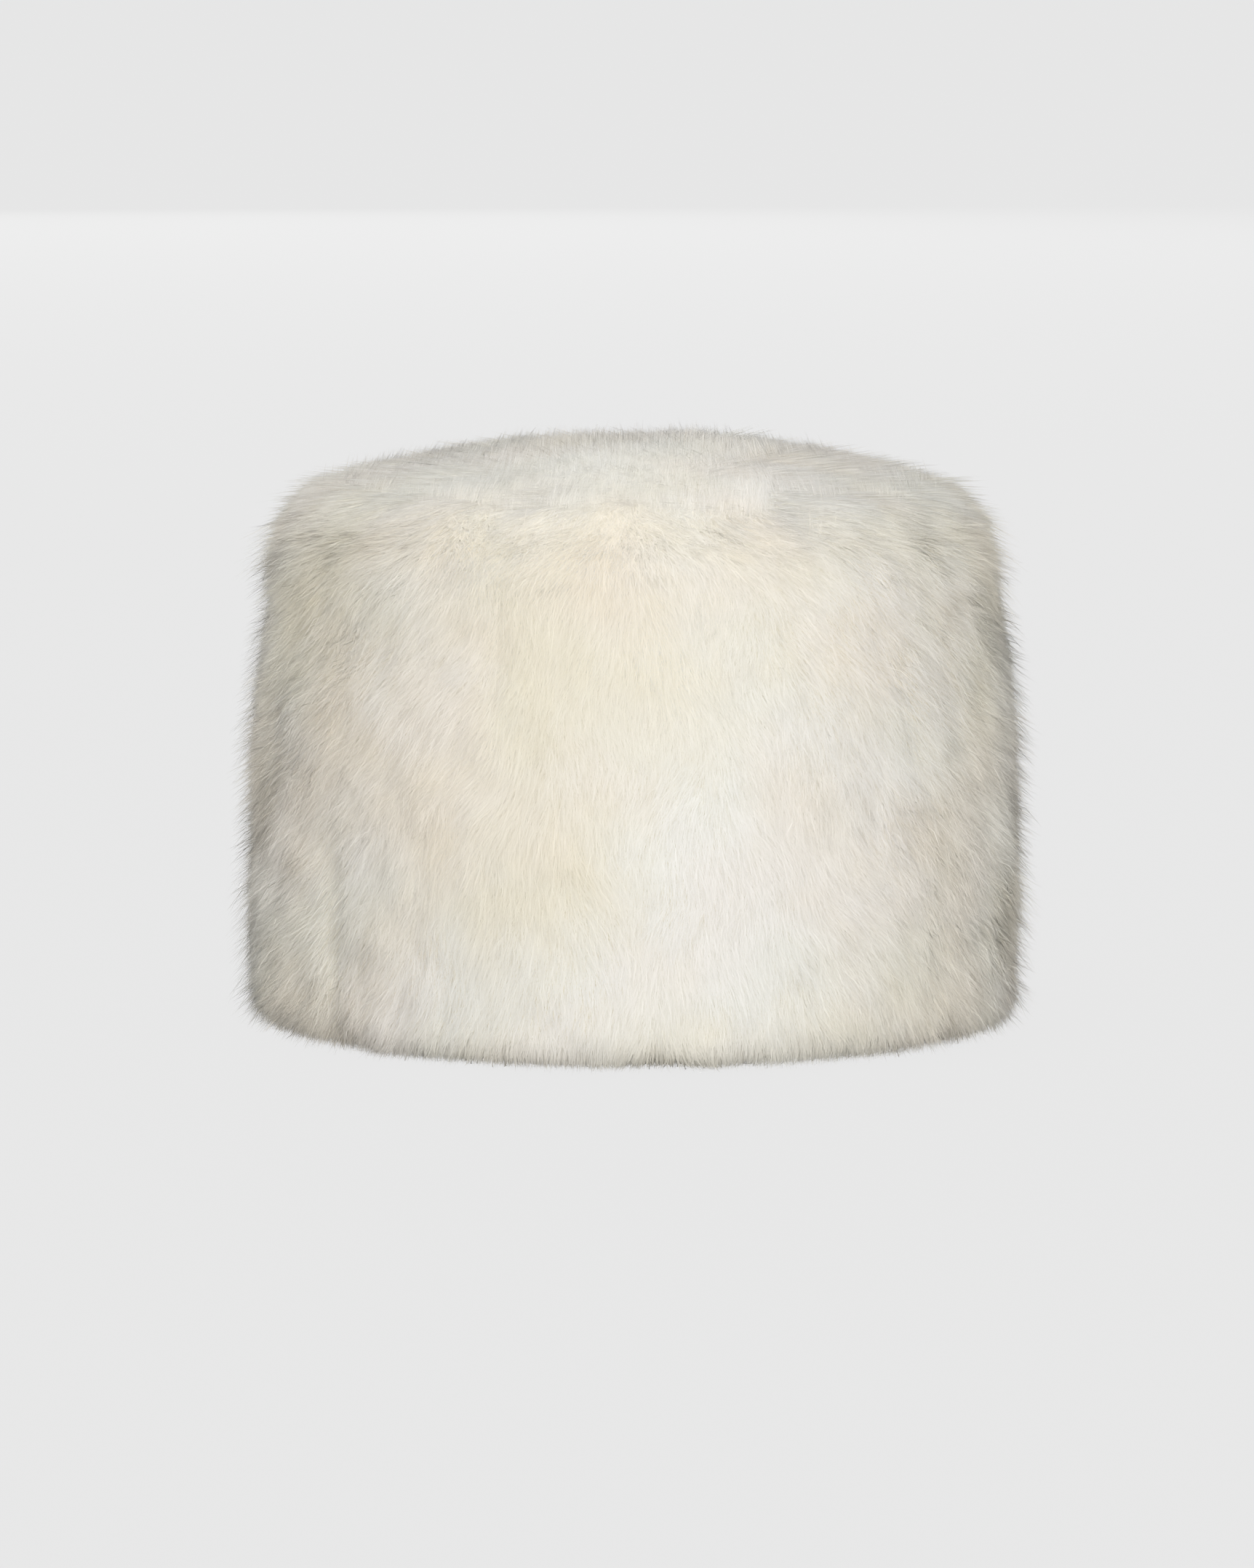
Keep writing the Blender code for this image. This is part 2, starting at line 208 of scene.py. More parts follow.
class Surface:
    """The outside of the wool as a grid over bearing and distance from the middle of the crown."""

    def __init__(self, rows=300, columns=720):
        self.rows, self.columns = rows, columns
        s = np.linspace(0, END_AT, rows)
        r, z = np.interp(s, FAR, PATH[:, 0]), np.interp(s, FAR, PATH[:, 1])
        nr, nz = -np.gradient(z, s), np.gradient(r, s)
        size = np.hypot(nr, nz)
        nr, nz = nr / size, nz / size
        bearing = np.linspace(0, 2 * math.pi, columns, endpoint=False)[None, :]
        s2, r2, z2 = s[:, None], r[:, None], z[:, None]
        plain = on_oval(r2 + 0 * bearing, z2 + 0 * bearing, bearing + 0 * s2)
        swell = SWELL * noise_at(plain, SWELL_LENGTH) + FINE_SWELL * noise_at(plain, FINE_SWELL_LENGTH, 7.0)
        on_band = s2 > SEAM_AT
        place = np.clip((s2 - SEAM_AT) / (FOOT_AT - SEAM_AT), 0, 1)
        sunk = np.where(
            on_band, BELLY_PILE * marks_at(BAND_MARKS, bearing, place),
            CROWN_PILE * marks_at(TIP_MARKS, bearing, s2 / SEAM_AT),
        )
        groove = GROOVE * np.exp(-(((s2 - SEAM_AT) / GROOVE_WIDTH) ** 2))
        groove = groove * (1 + GROOVE_UNEVEN * noise_at(plain, GROOVE_PATCH, 3.0))
        steady = np.clip((FOOT_AT - s2) / STEADY_HEM, 0, 1)
        out = steady * (swell - sunk + SURFACE_LIFT) - groove
        self.points = on_oval(r2 + out * nr[:, None], np.maximum(z2 + out * nz[:, None], 0), bearing)
        around = np.roll(self.points, -1, 1) - np.roll(self.points, 1, 1)
        down = np.gradient(self.points, axis=0)
        normal = np.cross(down, around)
        plain_normal = turned_round(nr, nz, bearing)
        normal = np.where((np.sum(normal * plain_normal, -1) < 0)[..., None], -normal, normal)
        length = np.linalg.norm(normal, axis=-1, keepdims=True)
        normal = np.where(length > 1e-12, normal / np.maximum(length, 1e-12), plain_normal)
        normal = 0.5 * normal + 0.5 * plain_normal
        self.normals = normal / np.linalg.norm(normal, axis=-1, keepdims=True)
        self.down = unit(turned_round(np.gradient(r, s), np.gradient(z, s), bearing))
        self.s = s
        ring = np.linalg.norm(np.roll(plain, -1, 1) - plain, axis=-1).sum(1)
        self.area_to = np.concatenate([[0], np.cumsum((ring[1:] + ring[:-1]) / 2 * np.diff(s))])

    def at(self, field, bearing, s):
        """The field read between the grid's points."""
        x = (bearing / (2 * math.pi) * self.columns) % self.columns
        y = np.clip(s / END_AT * (self.rows - 1), 0, self.rows - 1.001)
        c, r = x.astype(int), y.astype(int)
        fx, fy = (x - c)[:, None], (y - r)[:, None]
        c2 = (c + 1) % self.columns
        low = field[r, c] * (1 - fx) + field[r, c2] * fx
        high = field[r + 1, c] * (1 - fx) + field[r + 1, c2] * fx
        return low * (1 - fy) + high * fy


surface = Surface()
# Fields of noise over the surface, for the swirl, lean, length and whiteness of the wool
field_noise = {
    "swirl": noise_at(surface.points, 0.030, 11.0) + 0.5 * noise_at(surface.points, 0.013, 23.0),
    "lift": noise_at(surface.points, 0.026, 37.0),
    "reach": noise_at(surface.points, 0.010, 51.0),
    "white": noise_at(surface.points, 0.032, 71.0) + 0.5 * noise_at(surface.points, 0.012, 83.0),
}


def tufts_of(bearing, s, size, table):
    """For each strand the nearest tuft: its bearing and distance, and random numbers of its own."""
    round_cells = int(round(2 * math.pi * BODY_RADIUS / size))
    down_cells = int(math.ceil(END_AT / size)) + 3
    rng = np.random.default_rng(table)
    jitter = rng.random((down_cells, round_cells, 2))
    chance = rng.random((down_cells, round_cells, 5))
    x, y = bearing / (2 * math.pi) * round_cells, s / size + 1
    ci, ri = np.floor(x).astype(int), np.floor(y).astype(int)
    best = np.full(len(x), np.inf)
    out = [np.zeros(len(x)), np.zeros(len(x)), np.zeros((len(x), 5))]
    squeeze = np.interp(s, FAR, PATH[:, 0]) / BODY_RADIUS
    for dr in (-1, 0, 1):
        for dc in (-1, 0, 1):
            rr, cc = np.clip(ri + dr, 0, down_cells - 1), (ci + dc) % round_cells
            px, py = ci + dc + jitter[rr, cc, 0], ri + dr + jitter[rr, cc, 1]
            gap = ((px - x) * squeeze) ** 2 + (py - y) ** 2
            nearer = gap < best
            best = np.where(nearer, gap, best)
            out[0] = np.where(nearer, px, out[0])
            out[1] = np.where(nearer, py, out[1])
            out[2] = np.where(nearer[:, None], chance[rr, cc], out[2])
    return out[0] / round_cells * 2 * math.pi, (out[1] - 1) * size, out[2]


def drawn_to(centre_bearing, centre_s, places, normal, furthest):
    """The way from each strand's place to the middle of its tuft or lock, along the surface and cut to a length."""
    way = surface.at(surface.points, centre_bearing % (2 * math.pi), np.clip(centre_s, 0, END_AT)) - places
    way -= normal * np.sum(way * normal, -1, keepdims=True)
    far = np.linalg.norm(way, axis=-1, keepdims=True)
    return way * np.minimum(1, furthest / np.maximum(far, 1e-9))


def strand_mesh(name, kinds, tone):
    """The strands as one mesh. Each kind names its strands, their points and shading directions, the rise of each
    point up the strand, its place in the strand's own square of the UV map, and the faces."""
    count = len(tone)
    cells = int(math.ceil(math.sqrt(count)))
    points, faces, along_at, tones, shades, uv = [], [], [], [], [], []
    done, used = 0, 0
    for which, shape, shading, rises, square, corners in kinds:
        k = np.flatnonzero(which)
        each = len(rises)
        points.append(shape[k].reshape(-1, 3))
        faces.append((done + each * np.arange(len(k))[:, None, None] + np.array(corners)[None]).reshape(-1, 3))
        along_at.append(np.tile(rises, len(k)))
        tones.append(np.repeat(tone[k], each, 0))
        shades.append(shading[k].reshape(-1, 3))
        number = used + np.arange(len(k))
        cell = np.stack([number % cells, number // cells], -1).astype(float)
        uv.append((cell[:, None] + np.array(square)[None]).reshape(-1, 2) / cells)
        done += each * len(k)
        used += len(k)
    points, faces, along_at, tones, shades, uv = map(np.concatenate, (points, faces, along_at, tones, shades, uv))

    mesh = bpy.data.meshes.new(name)
    mesh.vertices.add(len(points))
    mesh.vertices.foreach_set("co", points.ravel().astype(np.float32))
    mesh.loops.add(faces.size)
    mesh.loops.foreach_set("vertex_index", faces.ravel().astype(np.int32))
    mesh.polygons.add(len(faces))
    mesh.polygons.foreach_set("loop_start", np.arange(0, faces.size, 3, dtype=np.int32))
    mesh.polygons.foreach_set("loop_total", np.full(len(faces), 3, np.int32))
    mesh.update(calc_edges=True)
    colour = mesh.color_attributes.new("strand", "FLOAT_COLOR", "POINT")
    strand_values = np.column_stack([tones[:, 0], along_at, tones[:, 1], tones[:, 2]])
    colour.data.foreach_set("color", strand_values.ravel().astype(np.float32))
    soft = mesh.attributes.new("shade", "FLOAT_VECTOR", "POINT")
    soft.data.foreach_set("vector", shades.ravel().astype(np.float32))
    layer = mesh.uv_layers.new(name="OFBake")
    layer.data.foreach_set("uv", uv[faces.ravel()].ravel().astype(np.float32))
    mesh.polygons.foreach_set("use_smooth", np.ones(len(faces), bool))
    mesh.normals_split_custom_set_from_vertices(shades.astype(np.float32))
    return placed(name, mesh)


def placed(name, mesh):
    """The mesh as a piece of the scene."""
    piece = bpy.data.objects.new(name, mesh)
    bpy.context.scene.collection.objects.link(piece)
    return piece


def strands(name, triangles, bearings, distances, seed):
    """A piece of wool: short straight strands, longer bent ones and spikes, combed and gathered into tufts."""
    rng = np.random.default_rng(seed)
    area = np.interp(distances, surface.s, surface.area_to)
    spiked_share = np.clip((np.interp(SPIKES_TO, surface.s, surface.area_to) - area[0]) / (area[1] - area[0]), 0, 1)
    count = int(triangles / (3 * spiked_share + (1 - spiked_share) * (3 - 2 * SHORT_SHARE)) * BUDGET_USED)
    i = np.arange(count)
    u, v = (0.5 + i * SCATTER[0]) % 1, (0.5 + i * SCATTER[1]) % 1
    bearing = np.radians(bearings[0] + (bearings[1] - bearings[0]) * u) % (2 * math.pi)
    s = np.interp(area[0] + (area[1] - area[0]) * v, surface.area_to, surface.s)
    bearing = (bearing + rng.normal(0, BEARING_BLUR, count)) % (2 * math.pi)
    spiked = s < SPIKES_TO + rng.normal(0, SPIKE_BLUR, count)
    envelope = surface.at(surface.points, bearing, s)
    normal = unit(surface.at(surface.normals, bearing, s))
    down = unit(surface.at(surface.down, bearing, s))
    radius = np.interp(s, FAR, PATH[:, 0])
    flow = np.array(CROWN_FLOW)
    flow = unit(flow - normal * (normal @ flow)[:, None])
    radial = np.clip((radius - FLOW_FROM) / FLOW_OVER, 0, 1)[:, None]
    comb = unit(down * radial + flow * (1 - radial))
    from_front = np.abs(aside_of(bearing, FRONT_BEARING))
    shag = SHAG - SHAG_SMOOTHED * bell(from_front / SMOOTH_FRONT) * np.where(spiked, SHAG_ON_CROWN, 1)
    around = np.cross(normal, comb)

    tuft_b, tuft_s, tuft = tufts_of(bearing, s, TUFT, 5)
    lock_b, lock_s, lock = tufts_of(bearing, s, LOCK, 6)
    n_at = {k: surface.at(f[..., None], bearing, s)[:, 0] for k, f in field_noise.items()}
    place = (s - SEAM_AT) / (FOOT_AT - SEAM_AT)
    field, by_tuft, by_lock, chance = TURN_BY
    turn = field * n_at["swirl"] + by_tuft * (tuft[:, 0] - 0.5) + by_lock * (lock[:, 0] - 0.5)
    turn = turn + rng.normal(0, chance, count)
    for at, half, first, last, strength in PARTINGS:
        aside = aside_of(bearing, at - PARTING_WANDER * n_at["lift"]) / half
        inside = np.clip((place - first) / PARTING_ENDS[0], 0, 1) * np.clip((last - place) / PARTING_ENDS[1], 0, 1)
        turn += PARTING_TURN * strength * inside * aside * np.exp(1 - np.abs(aside) - (aside / 2) ** 2)
    turn = np.radians(turn)[:, None]
    comb = comb * np.cos(turn) + around * np.sin(turn)
    steep = np.degrees(np.arcsin(np.clip(normal[:, 2], -1, 1)))
    lean = np.interp(s, [a for a, _ in LEAN], [b for _, b in LEAN])
    parted = PART_STEEP + PART_BY * rng.normal(0, 1, count) + PART_BY * n_at["swirl"] + PART_BY * (lock[:, 1] - 0.5)
    inward = steep > parted
    lean = np.maximum(lean, steep + LIE_PAST)
    lean = np.where(inward, -np.interp(s, [a for a, _ in INWARD_LEAN], [b for _, b in INWARD_LEAN]), lean)
    field, by_tuft, by_lock, chance = LEAN_BY
    lean = lean + field * n_at["lift"] + by_tuft * (tuft[:, 1] - 0.5) + by_lock * (lock[:, 1] - 0.5)
    lean = lean + rng.normal(0, chance, count)
    lean = np.radians(np.clip(lean, np.where(inward, LEAN_INWARD_MOST, LEAN_LEAST), LEAN_MOST))

    depth = ROOT_DEPTH * np.clip((END_AT - s) / 0.02 + 0.45, 0.45, 1)
    field, by_tuft, by_lock, chance = HEIGHT_BY
    bumps = field * n_at["reach"] + by_tuft * (tuft[:, 2] - 0.5) + by_lock * (lock[:, 2] - 0.5)
    height = depth + shag * bumps + rng.normal(0, chance, count)
    guard = rng.random(count) < GUARD_SHARE * shag
    stands_up = np.radians(GUARD_UP[0] + GUARD_UP[1] * rng.random(count))
    lean = np.where(guard & (steep < GUARD_STEEP), lean - stands_up, lean)
    short_of = np.minimum(1, STRAND_LENGTH * np.cos(lean) / depth)
    depth = depth * short_of
    height = height * short_of
    height = np.where(guard, height + rng.random(count) ** 1.5 * np.where(spiked, *GUARD_REACH), height)
    root = envelope - normal * depth[:, None]
    reach = (height * np.tan(lean))[:, None]
    tip = root + normal * height[:, None] + comb * reach
    gather = drawn_to(tuft_b, tuft_s, envelope, normal, TUFT_REACH)
    lock_gather = drawn_to(lock_b, lock_s, envelope, normal, LOCK)
    tip += gather * (TUFT_DRAW[0] + TUFT_DRAW[1] * tuft[:, 3:4])
    middle = root + normal * (0.62 * height)[:, None] + comb * 0.34 * reach + gather * 0.2
    middle += rng.normal(0, 0.00018, (count, 3))
    lowest = STRAND_FLOOR + STRAND_FLOOR_SPREAD * rng.random(count)
    for points in (root, middle, tip):
        points[:, 2] = np.maximum(points[:, 2], lowest)

    width = STRAND_WIDTH * (0.75 + 0.5 * rng.random(count))
    along = unit(tip - root)
    side = np.cross(along, normal)
    flat = np.linalg.norm(side, axis=-1, keepdims=True) < 0.15
    side = unit(np.where(flat, around, side))
    face_out = np.cross(side, along)
    side = np.where((np.sum(face_out * normal, -1) < 0)[:, None], -side, side)
    twist = np.radians(rng.normal(0, 22, count))[:, None]
    side = side * np.cos(twist) + np.cross(side, along) * np.sin(twist)
    over = np.interp(place, SHADE_OVER_PLACES, SHADE_OVER) * reach[:, 0]
    tip_bearing = (bearing + over * np.sin(turn[:, 0]) / np.maximum(radius, 0.02)) % (2 * math.pi)
    tip_s = np.clip(s + over * np.cos(turn[:, 0]), 0, END_AT)
    tip_normal = unit(surface.at(surface.normals, tip_bearing, tip_s))
    rounding = shag[:, None] * (TUFT_ROUND * gather / TUFT + LOCK_ROUND * lock_gather / LOCK)
    rough = ROUGH_ACROSS * np.cross(side, along) + ROUGH_CHANCE * shag[:, None] * rng.normal(0, 1, (count, 3))
    rough = rough - rounding
    shade_root, shade_tip = unit(normal + rough), unit(tip_normal + rough)
    shade_middle = unit(shade_root + shade_tip)

    short = (np.arange(count) < int(count * SHORT_SHARE))[rng.permutation(count)]
    white = WHITE_MIDDLE + WHITE_FIELD * n_at["white"] + WHITE_TUFT * (tuft[:, 4] - 0.5)
    white += WHITE_CROWN * np.clip((envelope[:, 2] - CROWN_FROM) / CROWN_OVER, 0, 1)
    # Patches of whiter and creamier wool; the creamier one over the front shoulder is painted shade
    for at, half, high, half_high, amount in PATCHES:
        aside, above = aside_of(bearing, at) / half, (envelope[:, 2] - high) / half_high
        white += PATCH_STRENGTH * amount * bell(np.hypot(aside / PATCH_SIZE, above / PATCH_SIZE))
    # The strands' own tone mixed with painted shade between strands: each strand is darkened by chance, more where
    # the wool is shaggier, away from the front
    shade_of = 1 - (shag / SHAG) ** 2 * (1 - rng.random(count))
    tone = np.stack([shade_of, tuft[:, 4], np.clip(white, 0, 1)], -1)
    half = (side * width[:, None] / 2)[:, None]
    third = np.radians([90.0, 210.0, 330.0])
    u, v = side[:, None], np.cross(along, side)[:, None]
    ring = (u * np.cos(third)[:, None] + v * np.sin(third)[:, None]) * (width[:, None, None] / 1.6)
    kinds = (
        # which strands, points of each, directions they are shaded by, rise of each point, its place in the
        # strand's own square, faces
        (~spiked & short, np.concatenate([root[:, None] - half, root[:, None] + half, tip[:, None]], 1),
         np.stack([shade_root, shade_root, shade_tip], 1),
         (0.0, 0.0, 1.0), ((0.08, 0.08), (0.92, 0.08), (0.5, 0.92)), ((0, 1, 2),)),
        (~spiked & ~short,
         np.concatenate([root[:, None] - 0.9 * half, root[:, None] + 0.9 * half, middle[:, None] - 0.75 * half,
                         middle[:, None] + 0.75 * half, tip[:, None]], 1),
         np.stack([shade_root, shade_root, shade_middle, shade_middle, shade_tip], 1),
         (0.0, 0.0, 0.55, 0.55, 1.0), ((0.08, 0.08), (0.92, 0.08), (0.14, 0.5), (0.86, 0.5), (0.5, 0.92)),
         ((0, 1, 3), (0, 3, 2), (2, 3, 4))),
        (spiked, np.concatenate([root[:, None] + ring, tip[:, None]], 1),
         np.stack([shade_root, shade_root, shade_root, shade_tip], 1),
         (0.0, 0.0, 0.0, 1.0), ((0.08, 0.08), (0.92, 0.08), (0.5, 0.92), (0.5, 0.36)),
         ((0, 1, 3), (1, 2, 3), (2, 0, 3))),
    )
    return strand_mesh(name, kinds, tone)


def grid_mesh(name, rings, close_rows):
    """A mesh through rings of points, closed all round, and closed from the last ring to the first if asked."""
    rows, columns = rings.shape[:2]
    index = np.arange(rows * columns).reshape(rows, columns)
    last = rows if close_rows else rows - 1
    a = index[np.arange(last)]
    b = index[(np.arange(last) + 1) % rows]
    faces = np.stack([a, b, np.roll(b, -1, 1), np.roll(a, -1, 1)], -1).reshape(-1, 4)
    mesh = bpy.data.meshes.new(name)
    mesh.from_pydata(rings.reshape(-1, 3).tolist(), [], faces.tolist())
    mesh.validate()
    mesh.shade_smooth()
    return placed(name, mesh)


def weld(piece):
    """Joins the points that lie on one another, and turns every face outwards."""
    shape = bmesh.new()
    shape.from_mesh(piece.data)
    bmesh.ops.remove_doubles(shape, verts=shape.verts, dist=1e-6)
    bmesh.ops.recalc_face_normals(shape, faces=shape.faces)
    shape.to_mesh(piece.data)
    shape.free()
    piece.data.shade_smooth()


def skin_outline(offset):
    """The band skin's outer face moved outwards by an offset, from the seam to the rim."""
    steps, round_by = 14, SHOULDER_RADIUS + offset
    a = np.linspace(SHOULDER_TURN, 0, steps)
    arc = np.column_stack([AXIS_R + round_by * np.cos(a), AXIS_Z + round_by * np.sin(a)])
    t = np.linspace(0, 1, steps)[1:]
    wall = np.column_stack([arc[-1, 0] + (RIM_RADIUS + offset - arc[-1, 0]) * t, AXIS_Z + (RIM_LIFT - AXIS_Z) * t])
    return np.vstack([arc, wall])


UNDERCOAT_BEARINGS = np.linspace(0, 2 * math.pi, UNDERCOAT_COLUMNS, endpoint=False)


def surface_ring(at, depth):
    """A ring of points a depth under the wool's surface, at one distance from the middle of the crown."""
    many = np.full(UNDERCOAT_COLUMNS, at)
    normal = unit(surface.at(surface.normals, UNDERCOAT_BEARINGS, many))
    return surface.at(surface.points, UNDERCOAT_BEARINGS, many) - normal * depth


def undercoat_of_band():
    """The dense wool under the strands of the band, closed on the skin."""
    s = np.concatenate([np.linspace(SEAM_AT + SEAM_KEEP, FOOT_AT, 96), np.linspace(FOOT_AT, END_AT, 8)[1:]])
    rings = [surface_ring(at, UNDERCOAT_DEPTH * np.clip((END_AT - at) / 0.02 + 0.3, 0.3, 1)) for at in s]
    for ring in rings:
        ring[:, 2] = np.maximum(ring[:, 2], UNDERCOAT_FOOT)
    for r, z in [(HEAD_WIDTH / 2, RIM_LIFT - CLEARANCE), *skin_outline(CLEARANCE)[::-1]]:
        rings.append(on_oval(np.full(UNDERCOAT_COLUMNS, r), z, UNDERCOAT_BEARINGS))
    return grid_mesh("undercoat_band", np.array(rings), True)


def undercoat_of_tip():
    """The dense wool under the strands of the crown tip, closed on the skin."""
    rings = [surface_ring(max(at, 1e-5), UNDERCOAT_DEPTH) for at in np.linspace(0, SEAM_AT - SEAM_KEEP, 50)]
    for share in np.linspace(1, 0, 16):
        r = (SEAM_RADIUS - CLEARANCE) * share
        z = SKIN_TOP - CROWN_RISE * share**2 + CLEARANCE
        rings.append(on_oval(np.full(UNDERCOAT_COLUMNS, r), z, UNDERCOAT_BEARINGS))
    for middle in (rings[0], rings[-1]):
        middle[:] = middle.mean(0)
    return grid_mesh("undercoat_tip", np.array(rings), False)



# Materials

def new_material(name):
    made = bpy.data.materials.new(name)
    made.use_nodes = True
    tree = made.node_tree
    shader = tree.nodes["Principled BSDF"]
    return made, tree, shader


def node(tree, kind, **values):
    made = tree.nodes.new(kind)
    for key, value in values.items():
        if key in made.inputs:
            made.inputs[key].default_value = value
        else:
            setattr(made, key, value)
    return made


def ramp(tree, source, stops):
    made = tree.nodes.new("ShaderNodeValToRGB")
    elements = made.color_ramp.elements
    while len(elements) < len(stops):
        elements.new(0.5)
    for element, (at, colour) in zip(elements, stops):
        element.position = at
        element.color = (*colour, 1)
    tree.links.new(source, made.inputs["Fac"])
    return made.outputs["Color"]


def mixed(tree, mode, amount, a, b):
    made = tree.nodes.new("ShaderNodeMix")
    made.data_type, made.blend_type = "RGBA", mode
    for value, socket in ((amount, made.inputs[0]), (a, made.inputs[6]), (b, made.inputs[7])):
        if isinstance(value, bpy.types.NodeSocket):
            tree.links.new(value, socket)
        elif isinstance(value, tuple):
            socket.default_value = (*value, 1)
        else:
            socket.default_value = value
    return made.outputs[2]


def wool_colour(tree, read=None):
    """Cream and white patches of the fleece: the strands' own where they are read, and noise under them. The
    strands' patches include painted shade over the front shoulder.
    """
    place = tree.nodes.new("ShaderNodeTexCoord").outputs["Object"]
    broad = node(tree, "ShaderNodeTexNoise", Scale=13.0, Detail=2.0, Roughness=0.55)
    tree.links.new(place, broad.inputs["Vector"])
    base = ramp(tree, broad.outputs["Fac"], [(at, tone) for at, (_, tone) in zip((0.36, 0.50, 0.64), WOOL_TONES)])
    tint = node(tree, "ShaderNodeTexNoise", Scale=21.0, Detail=1.0)
    moved = node(tree, "ShaderNodeMapping", Location=(0.31, 0.17, 0.55))
    tree.links.new(place, moved.inputs["Vector"])
    tree.links.new(moved.outputs["Vector"], tint.inputs["Vector"])
    if read is not None:
        base = ramp(tree, read.outputs["Alpha"], WOOL_TONES)
    tints = ((0.38, (0.99, 1.0, 0.99)), (0.5, (1.0, 1.0, 1.0)), (0.64, (1.0, 0.985, 0.98)))
    tinted = ramp(tree, tint.outputs["Fac"], tints)
    return mixed(tree, "MULTIPLY", 1.0, base, tinted), place


def wool_material(name, strands_too):
    """Cream wool: for the strands with their own tones, painted shade towards their roots and between them, and
    shading directions, or the rough mass under them.
    """
    made, tree, shader = new_material(name)
    read = node(tree, "ShaderNodeVertexColor", layer_name="strand") if strands_too else None
    colour, place = wool_colour(tree, read)
    if strands_too:
        parts = tree.nodes.new("ShaderNodeSeparateColor")
        tree.links.new(read.outputs["Color"], parts.inputs["Color"])
        # Red carries the strands' own tone mixed with painted shade between strands: a chance darkening that is
        # strongest where the wool is shaggier
        own = ramp(tree, parts.outputs["Red"], ((0.0, (0.82, 0.80, 0.76)), (0.7, (1.0, 1.0, 1.0))))
        colour = mixed(tree, "MULTIPLY", 1.0, colour, own)
        # Painted shade: each strand is darkened towards its root, where the wool around it would shade it
        rise = ramp(tree, parts.outputs["Green"], ((0.0, (0.94, 0.93, 0.90)), (0.8, (1.0, 1.0, 1.0))))
        colour = mixed(tree, "MULTIPLY", 1.0, colour, rise)
        soft = node(tree, "ShaderNodeAttribute", attribute_name="shade")
        turned = node(
            tree, "ShaderNodeVectorTransform", vector_type="NORMAL", convert_from="OBJECT", convert_to="WORLD"
        )
        tree.links.new(soft.outputs["Vector"], turned.inputs["Vector"])
        tree.links.new(turned.outputs["Vector"], shader.inputs["Normal"])
    else:
        fine = node(tree, "ShaderNodeTexNoise", Scale=900.0, Detail=3.0, Roughness=0.6)
        drawn = node(tree, "ShaderNodeMapping", Scale=(1.0, 1.0, 0.25))
        tree.links.new(place, drawn.inputs["Vector"])
        tree.links.new(drawn.outputs["Vector"], fine.inputs["Vector"])
        shade = ramp(tree, fine.outputs["Fac"], ((0.3, (0.80, 0.78, 0.73)), (0.65, (0.94, 0.93, 0.90))))
        colour = mixed(tree, "MULTIPLY", 1.0, colour, shade)
        bump = node(tree, "ShaderNodeBump", Strength=0.8, Distance=0.0008)
        tree.links.new(fine.outputs["Fac"], bump.inputs["Height"])
        tree.links.new(bump.outputs["Normal"], shader.inputs["Normal"])
    tree.links.new(colour, shader.inputs["Base Color"])
    shader.inputs["Roughness"].default_value = 0.75
    shader.inputs["Specular IOR Level"].default_value = 0.1
    return made


def suede_material():
    """The bare side of the sheepskin: a cloudy tan with a fine nap."""
    made, tree, shader = new_material("suede")
    place = tree.nodes.new("ShaderNodeTexCoord").outputs["Object"]
    cloud = node(tree, "ShaderNodeTexNoise", Scale=28.0, Detail=5.0, Roughness=0.6)
    tree.links.new(place, cloud.inputs["Vector"])
    tans = ((0.30, (0.50, 0.40, 0.28)), (0.52, (0.62, 0.52, 0.39)), (0.72, (0.70, 0.61, 0.48)))
    colour = ramp(tree, cloud.outputs["Fac"], tans)
    nap = node(tree, "ShaderNodeTexNoise", Scale=1500.0, Detail=3.0, Roughness=0.7)
    tree.links.new(place, nap.inputs["Vector"])
    fleck = ramp(tree, nap.outputs["Fac"], ((0.35, (0.90, 0.88, 0.86)), (0.6, (1.0, 1.0, 1.0))))
    colour = mixed(tree, "MULTIPLY", 1.0, colour, fleck)
    grain = node(tree, "ShaderNodeTexVoronoi", Scale=420.0)
    tree.links.new(place, grain.inputs["Vector"])
    height = tree.nodes.new("ShaderNodeMath")
    height.operation = "ADD"
    tree.links.new(nap.outputs["Fac"], height.inputs[0])
    tree.links.new(grain.outputs["Distance"], height.inputs[1])
    bump = node(tree, "ShaderNodeBump", Strength=0.5, Distance=0.0004)
    tree.links.new(height.outputs[0], bump.inputs["Height"])
    tree.links.new(bump.outputs["Normal"], shader.inputs["Normal"])
    tree.links.new(colour, shader.inputs["Base Color"])
    shader.inputs["Roughness"].default_value = 0.92
    shader.inputs["Sheen Weight"].default_value = 0.25
    shader.inputs["Sheen Roughness"].default_value = 0.5
    shader.inputs["Specular IOR Level"].default_value = 0.2
    return made


def thread_material():
    """Waxed cotton thread, its twist drawn across it."""
    made, tree, shader = new_material("thread")
    place = tree.nodes.new("ShaderNodeTexCoord").outputs["Object"]
    twist = node(tree, "ShaderNodeTexWave", Scale=900.0, Distortion=2.0, Detail=1.0)
    tree.links.new(place, twist.inputs["Vector"])
    colour = ramp(tree, twist.outputs["Fac"], ((0.1, (0.52, 0.47, 0.38)), (0.7, (0.76, 0.71, 0.60))))
    bump = node(tree, "ShaderNodeBump", Strength=0.6, Distance=0.0001)
    tree.links.new(twist.outputs["Fac"], bump.inputs["Height"])
    tree.links.new(bump.outputs["Normal"], shader.inputs["Normal"])
    tree.links.new(colour, shader.inputs["Base Color"])
    shader.inputs["Roughness"].default_value = 0.6
    return made


wool_strands = wool_material("wool_strands", True)
wool_under = wool_material("wool_undercoat", False)
suede = suede_material()

for name in ("band_skin", "tip_skin"):
    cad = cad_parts[name]
    cad.data.materials.clear()
    cad.data.materials.append(suede)

for piece, cad in ((undercoat_of_band(), "band_fleece"), (undercoat_of_tip(), "tip_fleece")):
    weld(piece)
    piece.data.materials.append(wool_under)
    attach(piece, "root")
    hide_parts(cad)

